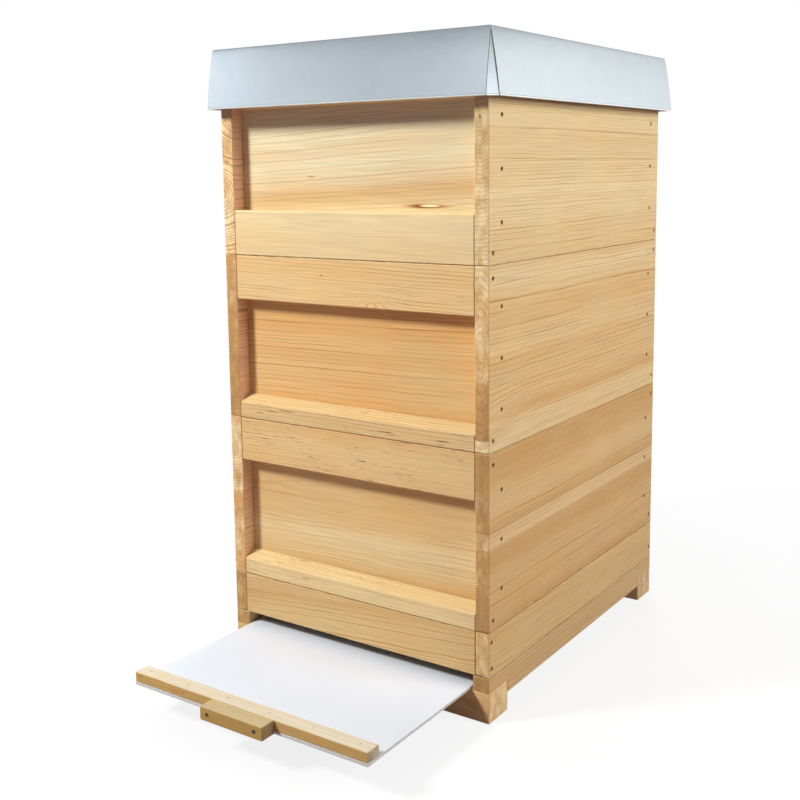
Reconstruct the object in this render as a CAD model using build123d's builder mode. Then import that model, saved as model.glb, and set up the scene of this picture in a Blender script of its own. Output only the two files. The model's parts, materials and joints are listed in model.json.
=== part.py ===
from build123d import *
import os

os.makedirs("parts", exist_ok=True)

# Frame that hangs in the boxes: the whole hive is sized around it
frame_count = 10
frame_pitch = 36.0
frame_height = 220.0
top_bar_length = 477.0
top_bar_height = 10.0
ear_length = 28.5
bar_width = 25.0
side_bar_thickness = 10.0
shoulder_width = 35.0
shoulder_height = 80.0
bottom_bar_height = 10.0
bottom_bar_width = 20.0

# Room left round the frames
frame_headroom = 1.0
bee_space = 7.0
ear_play = 4.5
outer_frame_gap = 10.0

# Boards of one box; the drip rail's top is bevelled up towards the panel
side_thickness = 20.0
rail_thickness = 20.0
panel_thickness = 22.0
grip_rail_height = 61.0
drip_rail_height = 22.0
drip_rail_rise = 10.0
edge_break = 0.8

# Floor: two cross runners, notched lower rails, an upper ring of boards and a mesh
runner_width = 48.0
runner_height = 40.0
runner_notch = 16.0
lower_rail_thickness = 24.0
lower_rail_height = 36.0
floor_board_height = 58.0
floor_board_thickness = 20.0
mesh_thickness = 1.2
mesh_bearing = 10.0
mesh_play = 0.5
mesh_columns = 15
mesh_rows = 19
mesh_web = 6.0

# Bee entrance: a sill and a loose block with a small gate cut in it
sill_height = 34.0
block_play = 1.0
gate_width = 100.0
gate_height = 9.0

# Inspection tray, drawn as it stands: pulled part of the way out
tray_thickness = 4.0
tray_side_play = 3.0
tray_rear_lap = 12.0
tray_pull = 220.0
tray_batten_depth = 22.0
tray_batten_play = 2.5
tray_handle_width = 98.0
tray_handle_depth = 22.0
tray_handle_nail_inset = 12.0
tray_pin_count = 6
tray_pin_inset = 18.0

# Inner cover: a sandwich of two boards, a ring of battens and an insulating board
cover_board_thickness = 10.0
cover_batten_width = 20.0
cover_core_height = 28.0
insulation_play = 0.5
cover_nails_per_batten = 4

# Roof: one folded sheet with flared skirts and a triangular gusset at each corner
sheet_thickness = 1.0
roof_overhang = 6.0
roof_flare = 12.0
roof_height = 80.0

# Nails, driven just below the surface; a bite is how far one goes into the piece behind
nail_radius = 1.4
nail_head_radius = 2.8
nail_head_thickness = 1.2
nail_sink = 0.6
nail_fit = 0.05
nail_bite = 35.0
rail_nail_inset = 15.0
panel_nail_pitch = 63.5
floor_nail_inset = 6.0
floor_nail_edge = 12.0
runner_nail_bite = 12.0
cover_nail_bite = 20.0
handle_nail_bite = 12.0

# Pins of the tray's batten, finer than the nails
pin_radius = 0.7
pin_head_radius = 1.3
pin_head_thickness = 0.8
pin_bite = 2.5

# Sizes that follow: inside and outside of a box
inner_width = frame_count * frame_pitch + 2 * outer_frame_gap
hive_width = inner_width + 2 * side_thickness
hive_depth = top_bar_length + 2 * (ear_play + rail_thickness)
box_height = bee_space + frame_height + frame_headroom
panel_height = box_height - frame_headroom - top_bar_height
frame_length = top_bar_length - 2 * ear_length

# Levels above the ground
lower_rail_bottom = runner_height - runner_notch
floor_joint = lower_rail_bottom + lower_rail_height
floor_top = floor_joint + floor_board_height
boxes_top = floor_top + 3 * box_height
cover_core_bottom = boxes_top + cover_board_thickness
cover_core_top = cover_core_bottom + cover_core_height
cover_top = cover_core_top + cover_board_thickness
roof_top = cover_top + sheet_thickness

# The plan is centred on everything that stands out: the tray's handle and the roof's skirt
skirt_reach = roof_overhang + roof_flare
tray_end = (tray_pull + tray_handle_depth - hive_depth - skirt_reach) / 2
hive_middle = tray_end + hive_depth / 2

LEFT_RIGHT = (("left", -1), ("right", 1))
ENDS = ("tray_end", "entrance_end")
LOW_CENTRED = (Align.CENTER, Align.CENTER, Align.MIN)
HIGH_CENTRED = (Align.CENTER, Align.CENTER, Align.MAX)


def save(part, name):
    part.label = name
    export_step(part, f"parts/{name}.step")


def from_end(end, distance):
    """Distance along the hive from its tray end, measured inwards from either end."""
    return distance if end == "tray_end" else hive_depth - distance


def nail_spot(sign, along, height):
    """A nail through a side board: its head on the outside, its shank pointing inwards."""
    return Location((sign * hive_width / 2, along, height), (0, 90 * sign, 0))


def nail_holes(spots, length):
    with Locations(*spots):
        CounterBoreHole(
            radius=nail_radius + nail_fit,
            counter_bore_radius=nail_head_radius + nail_fit,
            counter_bore_depth=nail_sink + nail_head_thickness,
            depth=nail_sink + length,
        )


def nails(spots, length):
    with Locations(*spots):
        with Locations((0, 0, -nail_sink)):
            Cylinder(nail_radius, length, align=HIGH_CENTRED)
            Cylinder(nail_head_radius, nail_head_thickness, align=HIGH_CENTRED)


def eased_box(length, width, height, centre):
    """A planed board standing on its centre point, with its sharp edges taken off."""
    with Locations(centre):
        board = Box(length, width, height, align=LOW_CENTRED)
    chamfer(board.edges(), length=edge_break)


def box_nail_spots(end):
    """Nails that hold one end of a box between its side boards, as (along, height) pairs."""
    in_rail = from_end(end, rail_thickness / 2)
    in_panel = from_end(end, rail_thickness + panel_thickness / 2)
    rail_heights = (rail_nail_inset, box_height - rail_nail_inset)
    panel_heights = [box_height / 2 + step * panel_nail_pitch for step in (-1, 0, 1)]
    return [(in_rail, height) for height in rail_heights] + [(in_panel, height) for height in panel_heights]


def make_box(box, place):
    """The boards and nails of one box; place puts it upright or upside down."""
    nail_length = side_thickness + nail_bite
    end_spots = [spot for end in ENDS for spot in box_nail_spots(end)]
    spots = [nail_spot(sign, *spot) for _, sign in LEFT_RIGHT for spot in end_spots]

    for _, sign in LEFT_RIGHT:
        side = "right" if sign * place.x_dir.X > 0 else "left"
        with BuildPart(place) as side_board:
            centre = (sign * (hive_width - side_thickness) / 2, hive_depth / 2, 0)
            eased_box(side_thickness, hive_depth, box_height, centre)
            nail_holes([spot for spot in spots if spot.position.X * sign > 0], nail_length)
        save(side_board.part, f"{box}_{side}_side")

    for end in ENDS:
        with BuildPart(place) as panel:
            centre = (0, from_end(end, rail_thickness + panel_thickness / 2), 0)
            eased_box(inner_width, panel_thickness, panel_height, centre)
            nail_holes(spots, nail_length)
        save(panel.part, f"{box}_{end}_panel")

        with BuildPart(place) as grip_rail:
            centre = (0, from_end(end, rail_thickness / 2), box_height - grip_rail_height)
            eased_box(inner_width, rail_thickness, grip_rail_height, centre)
            nail_holes(spots, nail_length)
        save(grip_rail.part, f"{box}_{end}_grip_rail")

        with BuildPart() as drip_rail:
            face, back = from_end(end, 0), from_end(end, rail_thickness)
            profile_plane = place * Plane.YZ.location
            with BuildSketch(profile_plane):
                Polygon(
                    (face, 0),
                    (back, 0),
                    (back, drip_rail_height + drip_rail_rise),
                    (face, drip_rail_height),
                    align=None,
                )
            extrude(amount=inner_width / 2, both=True)
            chamfer(drip_rail.edges(), length=edge_break)
            nail_holes([place.location * spot for spot in spots], nail_length)
        save(drip_rail.part, f"{box}_{end}_drip_rail")

    with BuildPart(place) as box_nails:
        nails(spots, nail_length)
    save(box_nails.part, f"{box}_nails")


def make_frames(box, place):
    """The frames of one box, hanging by their ears on the two end panels."""
    row = (0, hive_depth / 2)
    span = frame_length - side_bar_thickness

    with BuildPart(place) as top_bars:
        with Locations((*row, panel_height)):
            with GridLocations(frame_pitch, 0, frame_count, 1):
                Box(bar_width, top_bar_length, top_bar_height, align=LOW_CENTRED)
    save(top_bars.part, f"{box}_frame_top_bars")

    with BuildPart(place) as side_bars:
        with Locations((*row, panel_height)):
            with GridLocations(frame_pitch, span, frame_count, 2):
                Box(bar_width, side_bar_thickness, frame_height - top_bar_height, align=HIGH_CENTRED)
                Box(shoulder_width, side_bar_thickness, shoulder_height, align=HIGH_CENTRED)
    save(side_bars.part, f"{box}_frame_side_bars")

    with BuildPart(place) as bottom_bars:
        with Locations((*row, bee_space)):
            with GridLocations(frame_pitch, 0, frame_count, 1):
                bar_length = frame_length - 2 * side_bar_thickness
                Box(bottom_bar_width, bar_length, bottom_bar_height, align=LOW_CENTRED)
    save(bottom_bars.part, f"{box}_frame_bottom_bars")


def make_floor():
    """The stand under the boxes, with its mesh and its bee entrance."""
    lower_rail_middle = (hive_width - lower_rail_thickness) / 2
    side_middle = (hive_width - floor_board_thickness) / 2
    board_middle = floor_board_thickness / 2
    rebate_depth = mesh_thickness + mesh_play
    nail_length = floor_board_thickness + nail_bite
    runner_nail_length = runner_height + runner_nail_bite
    runner_rows = [tray_end + from_end(end, runner_width / 2) for end in ENDS]

    rail_row = tray_end + from_end("tray_end", floor_nail_inset)
    sill_row = tray_end + from_end("entrance_end", floor_nail_inset)
    rail_spots = []
    sill_spots = []
    runner_spots = []
    for _, sign in LEFT_RIGHT:
        rail_spots.append(nail_spot(sign, rail_row, floor_joint + floor_nail_edge))
        rail_spots.append(nail_spot(sign, rail_row, floor_top - floor_nail_edge))
        sill_spots.append(nail_spot(sign, sill_row, floor_joint + sill_height / 2))
        for row in runner_rows:
            runner_spots.append(Location((sign * lower_rail_middle, row, 0), (180, 0, 0)))

    for end, row in zip(ENDS, runner_rows):
        with BuildPart() as runner:
            eased_box(hive_width, runner_width, runner_height, (0, row, 0))
            nail_holes(runner_spots, runner_nail_length)
        save(runner.part, f"floor_{end}_runner")

    for side, sign in LEFT_RIGHT:
        with BuildPart() as lower_rail:
            centre = (sign * lower_rail_middle, hive_middle, lower_rail_bottom)
            eased_box(lower_rail_thickness, hive_depth, lower_rail_height, centre)
            with Locations(*[(sign * lower_rail_middle, row, runner_height) for row in runner_rows]):
                Box(
                    lower_rail_thickness,
                    runner_width,
                    lower_rail_height,
                    align=HIGH_CENTRED,
                    mode=Mode.SUBTRACT,
                )
            nail_holes(runner_spots, runner_nail_length)
        save(lower_rail.part, f"floor_{side}_lower_rail")

        with BuildPart() as side_board:
            centre = (sign * side_middle, hive_middle, floor_joint)
            eased_box(floor_board_thickness, hive_depth, floor_board_height, centre)
            with Locations((sign * (hive_width / 2 - floor_board_thickness), hive_middle, floor_joint)):
                Box(2 * mesh_bearing, hive_depth, 2 * rebate_depth, mode=Mode.SUBTRACT)
            nail_holes(rail_spots + sill_spots, nail_length)
        save(side_board.part, f"floor_{side}_side")

    board_span = hive_width - 2 * floor_board_thickness
    for end, height, name, spots in (
        ("tray_end", floor_board_height, "floor_tray_end_rail", rail_spots),
        ("entrance_end", sill_height, "floor_entrance_sill", sill_spots),
    ):
        with BuildPart() as end_board:
            centre = (0, tray_end + from_end(end, board_middle), floor_joint)
            eased_box(board_span, floor_board_thickness, height, centre)
            with Locations((0, tray_end + from_end(end, floor_board_thickness), floor_joint)):
                Box(board_span, 2 * mesh_bearing, 2 * rebate_depth, mode=Mode.SUBTRACT)
            nail_holes(spots, nail_length)
        save(end_board.part, name)

    mesh_width = hive_width - 2 * (floor_board_thickness - mesh_bearing + mesh_play)
    mesh_depth = hive_depth - 2 * (floor_board_thickness - mesh_bearing + mesh_play)
    column_pitch = (mesh_width - mesh_web) / mesh_columns
    row_pitch = (mesh_depth - mesh_web) / mesh_rows
    with BuildPart() as mesh:
        with BuildSketch(Plane((0, hive_middle, floor_joint))):
            Rectangle(mesh_width, mesh_depth)
            with GridLocations(column_pitch, row_pitch, mesh_columns, mesh_rows):
                Rectangle(column_pitch - mesh_web, row_pitch - mesh_web, mode=Mode.SUBTRACT)
        extrude(amount=mesh_thickness)
    save(mesh.part, "floor_mesh_screen")

    block_height = floor_board_height - sill_height - 2 * block_play
    with BuildPart() as block:
        centre = (0, tray_end + from_end("entrance_end", board_middle), floor_joint + sill_height)
        eased_box(board_span - 2 * block_play, floor_board_thickness, block_height, centre)
        with Locations(centre):
            Box(gate_width, floor_board_thickness, 2 * gate_height, mode=Mode.SUBTRACT)
    save(block.part, "entrance_block")

    with BuildPart() as floor_nails:
        nails(rail_spots + sill_spots, nail_length)
        nails(runner_spots, runner_nail_length)
    save(floor_nails.part, "floor_nails")


def make_tray():
    """The inspection tray that slides on the runners, under the mesh."""
    tray_width = hive_width - 2 * (lower_rail_thickness + tray_side_play)
    tray_length = hive_depth - runner_width + tray_rear_lap
    outer_edge = tray_end - tray_pull
    tray_face = runner_height + tray_thickness
    batten_height = floor_joint - tray_face - tray_batten_play
    batten_middle = outer_edge + tray_batten_depth / 2
    handle_height = tray_thickness + batten_height
    handle_face = outer_edge - tray_handle_depth

    pin_length = batten_height + pin_bite
    pin_pitch = (tray_width - 2 * tray_pin_inset) / (tray_pin_count - 1)
    pin_spots = [
        (index * pin_pitch + tray_pin_inset - tray_width / 2, batten_middle, tray_face + batten_height)
        for index in range(tray_pin_count)
    ]
    handle_nail_length = tray_handle_depth + handle_nail_bite
    handle_nail_reach = tray_handle_width / 2 - tray_handle_nail_inset
    handle_nail_level = runner_height + handle_height / 2
    handle_spots = [
        Location((sign * handle_nail_reach, handle_face, handle_nail_level), (90, 0, 0))
        for _, sign in LEFT_RIGHT
    ]

    with BuildPart() as sheet:
        with Locations((0, outer_edge + tray_length / 2, runner_height)):
            Box(tray_width, tray_length, tray_thickness, align=LOW_CENTRED)
        with Locations(*pin_spots):
            Hole(pin_radius + nail_fit, depth=pin_length)
    save(sheet.part, "tray_sheet")

    with BuildPart() as batten:
        eased_box(tray_width, tray_batten_depth, batten_height, (0, batten_middle, tray_face))
        with Locations(*pin_spots):
            CounterBoreHole(
                radius=pin_radius + nail_fit,
                counter_bore_radius=pin_head_radius + nail_fit,
                counter_bore_depth=pin_head_thickness,
                depth=pin_length,
            )
        nail_holes(handle_spots, handle_nail_length)
    save(batten.part, "tray_batten")

    with BuildPart() as handle:
        centre = (0, outer_edge - tray_handle_depth / 2, runner_height)
        eased_box(tray_handle_width, tray_handle_depth, handle_height, centre)
        nail_holes(handle_spots, handle_nail_length)
    save(handle.part, "tray_handle")

    with BuildPart() as tray_nails:
        with Locations(*pin_spots):
            Cylinder(pin_radius, pin_length, align=HIGH_CENTRED)
            Cylinder(pin_head_radius, pin_head_thickness, align=HIGH_CENTRED)
        nails(handle_spots, handle_nail_length)
    save(tray_nails.part, "tray_nails")


def make_inner_cover():
    """The insulated lid that lies on the top box, under the roof."""
    batten_middle = (hive_width - cover_batten_width) / 2
    nail_length = cover_board_thickness + cover_nail_bite
    nail_pitch = (hive_depth - 2 * cover_batten_width) / (cover_nails_per_batten - 1)
    nail_grid = GridLocations(2 * batten_middle, nail_pitch, 2, cover_nails_per_batten)
    spots = [Location((0, hive_middle, cover_top)) * spot for spot in nail_grid.locations]

    with BuildPart() as base:
        eased_box(hive_width, hive_depth, cover_board_thickness, (0, hive_middle, boxes_top))
    save(base.part, "inner_cover_base")

    for side, sign in LEFT_RIGHT:
        with BuildPart() as long_batten:
            centre = (sign * batten_middle, hive_middle, cover_core_bottom)
            eased_box(cover_batten_width, hive_depth, cover_core_height, centre)
            nail_holes(spots, nail_length)
        save(long_batten.part, f"inner_cover_{side}_batten")

    for end in ENDS:
        with BuildPart() as short_batten:
            centre = (0, tray_end + from_end(end, cover_batten_width / 2), cover_core_bottom)
            eased_box(hive_width - 2 * cover_batten_width, cover_batten_width, cover_core_height, centre)
        save(short_batten.part, f"inner_cover_{end}_batten")

    with BuildPart() as insulation:
        margin = 2 * (cover_batten_width + insulation_play)
        with Locations((0, hive_middle, cover_core_bottom)):
            Box(hive_width - margin, hive_depth - margin, cover_core_height, align=LOW_CENTRED)
    save(insulation.part, "inner_cover_insulation")

    with BuildPart() as top:
        eased_box(hive_width, hive_depth, cover_board_thickness, (0, hive_middle, cover_core_top))
        nail_holes(spots, nail_length)
    save(top.part, "inner_cover_top")

    with BuildPart() as cover_nails:
        nails(spots, nail_length)
    save(cover_nails.part, "inner_cover_nails")


def flared_block(inset):
    """The roof's outline, or its hollow when inset by the sheet: flared sides, cut-off corners."""
    half_width = hive_width / 2 + roof_overhang - inset
    half_depth = hive_depth / 2 + roof_overhang - inset
    top = roof_top - inset
    bottom = roof_top - roof_height
    with BuildPart() as block:
        with BuildSketch(Plane((0, hive_middle, bottom))):
            Rectangle(2 * (half_width + roof_flare), 2 * (half_depth + roof_flare))
        with BuildSketch(Plane((0, hive_middle, top))):
            Rectangle(2 * half_width, 2 * half_depth)
        loft(ruled=True)
        for _, x_sign in LEFT_RIGHT:
            for y_sign in (-1, 1):
                corner = Vector(x_sign * half_width, hive_middle + y_sign * half_depth, top)
                side_fold = Vector(x_sign * roof_flare, 0, bottom - top)
                end_fold = Vector(0, y_sign * roof_flare, bottom - top)
                outwards = side_fold.cross(end_fold) * (x_sign * y_sign)
                split(bisect_by=Plane(corner, z_dir=outwards), keep=Keep.BOTTOM)
    return block.part


def make_roof():
    """The folded sheet that shelters the hive; it lies on the inner cover and hangs past its edge."""
    with BuildPart() as roof:
        add(flared_block(0))
        add(flared_block(sheet_thickness), mode=Mode.SUBTRACT)
    save(roof.part, "roof_cover")


bottom_box_place = Plane((0, tray_end, floor_top))
middle_box_place = bottom_box_place.offset(box_height)
top_box_place = Plane((0, tray_end, boxes_top), x_dir=(-1, 0, 0), z_dir=(0, 0, -1))

make_floor()
make_tray()
make_box("bottom_box", bottom_box_place)
make_box("middle_box", middle_box_place)
make_box("top_box", top_box_place)
make_frames("bottom_box", bottom_box_place)
make_frames("middle_box", middle_box_place)
make_inner_cover()
make_roof()
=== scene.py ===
import json
import math

import bmesh
import bpy
from mathutils import Matrix, Quaternion, Vector

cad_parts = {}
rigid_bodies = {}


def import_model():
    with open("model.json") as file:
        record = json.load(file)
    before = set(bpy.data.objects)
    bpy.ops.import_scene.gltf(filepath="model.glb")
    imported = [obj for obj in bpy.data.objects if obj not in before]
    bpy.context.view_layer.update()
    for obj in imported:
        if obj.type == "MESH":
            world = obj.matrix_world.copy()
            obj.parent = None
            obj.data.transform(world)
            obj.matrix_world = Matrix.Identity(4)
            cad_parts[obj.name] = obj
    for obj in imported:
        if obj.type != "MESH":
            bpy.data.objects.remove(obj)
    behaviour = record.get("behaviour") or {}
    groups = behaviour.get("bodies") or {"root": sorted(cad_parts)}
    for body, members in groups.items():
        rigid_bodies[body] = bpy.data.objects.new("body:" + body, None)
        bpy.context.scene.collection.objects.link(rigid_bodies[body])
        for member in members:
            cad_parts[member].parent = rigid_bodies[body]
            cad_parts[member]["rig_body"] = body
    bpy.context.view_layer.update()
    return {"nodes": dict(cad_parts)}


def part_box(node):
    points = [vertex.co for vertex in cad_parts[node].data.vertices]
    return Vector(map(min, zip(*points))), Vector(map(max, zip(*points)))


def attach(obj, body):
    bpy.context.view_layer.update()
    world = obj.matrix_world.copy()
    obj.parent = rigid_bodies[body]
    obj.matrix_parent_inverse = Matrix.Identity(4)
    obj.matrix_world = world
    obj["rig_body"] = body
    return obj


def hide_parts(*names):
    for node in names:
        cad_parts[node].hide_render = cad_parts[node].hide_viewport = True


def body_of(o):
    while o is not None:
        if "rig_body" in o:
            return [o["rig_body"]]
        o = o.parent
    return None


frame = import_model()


# The camera stands about a metre and a half off the near corner, level with the middle of the top box.
# It looks a little down, and its lens is shifted down so that the upright edges stay nearly upright.
camera_place = (0.8610, -1.2922, 0.6925)
camera_azimuth, camera_pitch, camera_roll = 34.31, -7.86, -0.67
focal_length, film_width, lens_shift = 50.19, 36.0, -0.1

lens = bpy.data.cameras.new("camera")
lens.lens = focal_length
lens.sensor_width = film_width
lens.shift_y = lens_shift
camera = bpy.data.objects.new("camera", lens)
scene = bpy.context.scene
scene.collection.objects.link(camera)
scene.camera = camera

across, down = math.radians(camera_azimuth), math.radians(camera_pitch)
gaze = Vector((-math.sin(across) * math.cos(down), math.cos(across) * math.cos(down), math.sin(down)))
roll = Quaternion((0, 0, 1), math.radians(camera_roll))
camera.location = camera_place
camera.rotation_mode = "QUATERNION"
camera.rotation_quaternion = gaze.to_track_quat("-Z", "Y") @ roll


# A white photographer's studio: a pale floor that keeps a faint shadow, white walls all round, and
# soft boxes. The key stands in front, to the left and high; others stand above, at both sides and behind.
class Value:
    """A number that varies over a surface; sums and products of it become Math nodes."""

    def __init__(self, wiring, socket):
        self.wiring = wiring
        self.socket = socket

    def __add__(self, other):
        return self.wiring.math("ADD", self, other)

    def __sub__(self, other):
        return self.wiring.math("SUBTRACT", self, other)

    def __rsub__(self, other):
        return self.wiring.math("SUBTRACT", other, self)

    def __mul__(self, other):
        return self.wiring.math("MULTIPLY", self, other)

    def __truediv__(self, other):
        return self.wiring.math("DIVIDE", self, other)

    __radd__ = __add__
    __rmul__ = __mul__


class Wiring:
    """A node tree being wired up: node() adds any node, its settings first and then its sockets."""

    def __init__(self, tree):
        self.tree = tree
        tree.nodes.clear()

    def node(self, kind, settings=None, sockets=None):
        node = self.tree.nodes.new(kind)
        for key, setting in (settings or {}).items():
            if key == "stops":
                elements = node.color_ramp.elements
                while len(elements) > len(setting):
                    elements.remove(elements[-1])
                while len(elements) < len(setting):
                    elements.new(1.0)
                for element, (position, colour) in zip(elements, setting):
                    element.position = position
                    element.color = (*colour, 1.0)
            elif key == "interpolation":
                node.color_ramp.interpolation = setting
            else:
                setattr(node, key, setting)
        for key, value in (sockets or {}).items():
            if isinstance(value, Value):
                self.tree.links.new(value.socket, node.inputs[key])
            else:
                node.inputs[key].default_value = value
        return node

    def get(self, kind, output, settings=None, sockets=None):
        return Value(self, self.node(kind, settings, sockets).outputs[output])

    def math(self, operation, *numbers):
        return self.get("ShaderNodeMath", 0, {"operation": operation}, dict(enumerate(numbers)))

    def smooth(self, value, low, high):
        """0 below low, 1 above high, and an eased step between them."""
        limits = {"Value": value, "From Min": low, "From Max": high}
        return self.get("ShaderNodeMapRange", 0, {"interpolation_type": "SMOOTHSTEP"}, limits)

    def split(self, vector):
        parts = self.node("ShaderNodeSeparateXYZ", None, {0: vector})
        return [Value(self, parts.outputs[axis]) for axis in "XYZ"]

    def stretch(self, vector, scale, seed):
        """A vector with each axis scaled by itself and shifted, ready for a noise."""
        sockets = {0: vector, 1: scale, 2: (seed, 2.3 * seed, 5.1 * seed)}
        return self.get("ShaderNodeVectorMath", 0, {"operation": "MULTIPLY_ADD"}, sockets)

    def noise(self, vector, detail=2.0):
        return self.get("ShaderNodeTexNoise", 0, None, {"Vector": vector, "Scale": 1.0, "Detail": detail})

    def noise_along(self, number):
        sockets = {"W": number, "Scale": 1.0, "Detail": 1.0}
        return self.get("ShaderNodeTexNoise", 0, {"noise_dimensions": "1D"}, sockets)

    def chance(self, number):
        """A random number from 0 to 1 that goes with a whole number."""
        return self.get("ShaderNodeTexWhiteNoise", 0, {"noise_dimensions": "1D"}, {"W": number})

    def mix(self, share, first, second):
        return self.get("ShaderNodeMix", 2, {"data_type": "RGBA"}, {0: share, 6: first, 7: second})

    def dim(self, colour, share):
        """A colour times a number."""
        return self.get("ShaderNodeVectorMath", 0, {"operation": "SCALE"}, {0: colour, "Scale": share})

    def bump(self, height, strength, distance):
        sockets = {"Height": height, "Strength": strength, "Distance": distance}
        return self.get("ShaderNodeBump", 0, None, sockets)


class Finish(Wiring):
    """A material being mixed."""

    def __init__(self, name):
        self.material = bpy.data.materials.new(name)
        self.material.use_nodes = True
        super().__init__(self.material.node_tree)
        self.place = self.get("ShaderNodeTexCoord", "Object")

    def show(self, surface):
        self.node("ShaderNodeOutputMaterial", None, {"Surface": surface})
        return self.material

    def surface(self, sockets):
        return self.show(self.get("ShaderNodeBsdfPrincipled", 0, None, sockets))


def seen_directly(wiring):
    """1 for the rays that show the studio itself: to the lens, or by way of metal or plastic."""
    rays = wiring.node("ShaderNodeLightPath")
    shown = Value(wiring, rays.outputs["Is Camera Ray"])
    for kind in ("Is Glossy Ray", "Is Transmission Ray"):
        shown = wiring.math("MAXIMUM", shown, Value(wiring, rays.outputs[kind]))
    return shown


def soft_box(name, place, target, size, power, gleams=False, colour=(1, 1, 1)):
    """A square lamp; one that gleams only shows in metal and plastic, as a white card would."""
    lamp = bpy.data.lights.new(name, "AREA")
    lamp.size = size
    lamp.energy = power
    lamp.color = colour
    holder = bpy.data.objects.new(name, lamp)
    holder.location = place
    holder.rotation_mode = "QUATERNION"
    holder.rotation_quaternion = (Vector(target) - Vector(place)).to_track_quat("-Z", "Y")
    holder.visible_glossy = gleams
    holder.visible_diffuse = not gleams
    scene.collection.objects.link(holder)


def piece_of(name, mesh):
    """Puts a finished mesh into the scene."""
    piece = bpy.data.objects.new(name, mesh)
    scene.collection.objects.link(piece)
    return piece


WHITE = (1, 1, 1, 1)
wall_light, wall_tint = 0.068, (1, 0.69, 0.70, 1)
ceiling_start, ceiling_full, ceiling_grey = 0.05, 0.6, (0.6, 0.6, 0.6, 1)
scene.world = bpy.data.worlds.new("studio")
scene.world.use_nodes = True
walls = Wiring(scene.world.node_tree)
upwards = walls.split(walls.get("ShaderNodeTexCoord", "Generated"))[2]
camera_ray = Value(walls, walls.node("ShaderNodeLightPath").outputs["Is Camera Ray"])
ceiling = walls.smooth(upwards, ceiling_start, ceiling_full) * (1 - camera_ray)
walls_white = walls.mix(ceiling, WHITE, ceiling_grey)
walls_shown = walls.get("ShaderNodeBackground", 0, None, {"Color": walls_white, "Strength": 1.0})
walls_lighting = walls.get("ShaderNodeBackground", 0, None, {"Color": wall_tint, "Strength": wall_light})
walls_both = walls.get("ShaderNodeMixShader", 0, None, {
    0: seen_directly(walls), 1: walls_lighting, 2: walls_shown})
walls.node("ShaderNodeOutputWorld", None, {"Surface": walls_both})
scene.view_settings.view_transform = "Standard"

hive_middle = Vector((0.0, 0.1, 0.45))
soft_box("key", (-1.42, -1.95, 2.2), hive_middle, size=0.55, power=98.0)
soft_box("top", (0.1, -0.7, 2.6), (0.0, -0.3, 0.0), size=1.4, power=7.0)
soft_box("side", (2.3, 0.15, 1.45), hive_middle, size=1.3, power=47.0)
soft_box("far", (-0.9, 2.5, 1.8), hive_middle, size=1.2, power=46.0)
soft_box("near_left", (-2.4, 0.5, 1.4), hive_middle, size=1.2, power=18.0)
soft_box("left_gleam", (-2.3, -1.2, 1.3), hive_middle, size=1.2, power=9.2, gleams=True)
soft_box("right_gleam", (2.0, -1.5, 1.3), hive_middle, size=1.0, power=4.7, gleams=True,
         colour=(1, 0.96, 0.9))
soft_box("front_gleam", (-0.7, -2.3, 1.65), (0.2, 0.0, 0.8), size=0.6, power=1.25, gleams=True)
soft_box("back_gleam", (1.6, 2.3, 1.1), hive_middle, size=1.2, power=3.3, gleams=True,
         colour=(1, 0.95, 0.86))

MM = 0.001
ground = bpy.data.meshes.new("ground")
half_ground, ground_level = 12.0, -0.2 * MM
ground_corners = ((-1, -1), (1, -1), (1, 1), (-1, 1))
ground_points = [(x * half_ground, y * half_ground, ground_level) for x, y in ground_corners]
ground.from_pydata(ground_points, [], [(0, 1, 2, 3)])
paper = Finish("white_paper")
paper_seen = seen_directly(paper)
paper_bounce, paper_shown = (0.325, 0.22, 0.245, 1), (0.85, 0.85, 0.85, 1)
paper_tone = paper.mix(paper_seen, paper_bounce, paper_shown)
paper_lit = paper.get("ShaderNodeBsdfDiffuse", 0, None, {"Color": paper_tone})
paper_white = paper.get("ShaderNodeEmission", 0, None, {"Color": WHITE, "Strength": 1.0})
far_out = paper.get("ShaderNodeVectorMath", "Value", {"operation": "LENGTH"}, {0: paper.place})
white_under, fade_start, fade_end = 0.84, 0.4, 1.4
paper_share = paper_seen * (paper.smooth(far_out, fade_start, fade_end) * (1 - white_under) + white_under)
paper_both = paper.get("ShaderNodeMixShader", 0, None, {0: paper_share, 1: paper_lit, 2: paper_white})
ground.materials.append(paper.show(paper_both))
piece_of("studio_floor", ground)


# The floor stands on two runners laid across it, with notched lower rails along both sides. They are
# planed pine, and their rings run round a pith line, so faces show grain and sawn ends show arcs.
SAPWOOD = (0.795, 0.66, 0.365)
HEARTWOOD = (0.655, 0.388, 0.145)
LATEWOOD = (0.45, 0.195, 0.04)
END_RING = (0.43, 0.20, 0.08)
RESIN = (0.16, 0.055, 0.02)
FLECK = (0.27, 0.115, 0.04)
SCAR = (0.95, 0.86, 0.62)
SEAM_DIRT_AND_SHADE = (0.15, 0.06, 0.022)
SAWN_FACE_AND_SHADE = (0.54, 0.332, 0.083)
PAINTED_RECESS_SHADE = (0.95, 0.61, 0.42)
PITH_REACH = 400.0
RECESS_REACH = 30.0

nodes = frame["nodes"]


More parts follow.
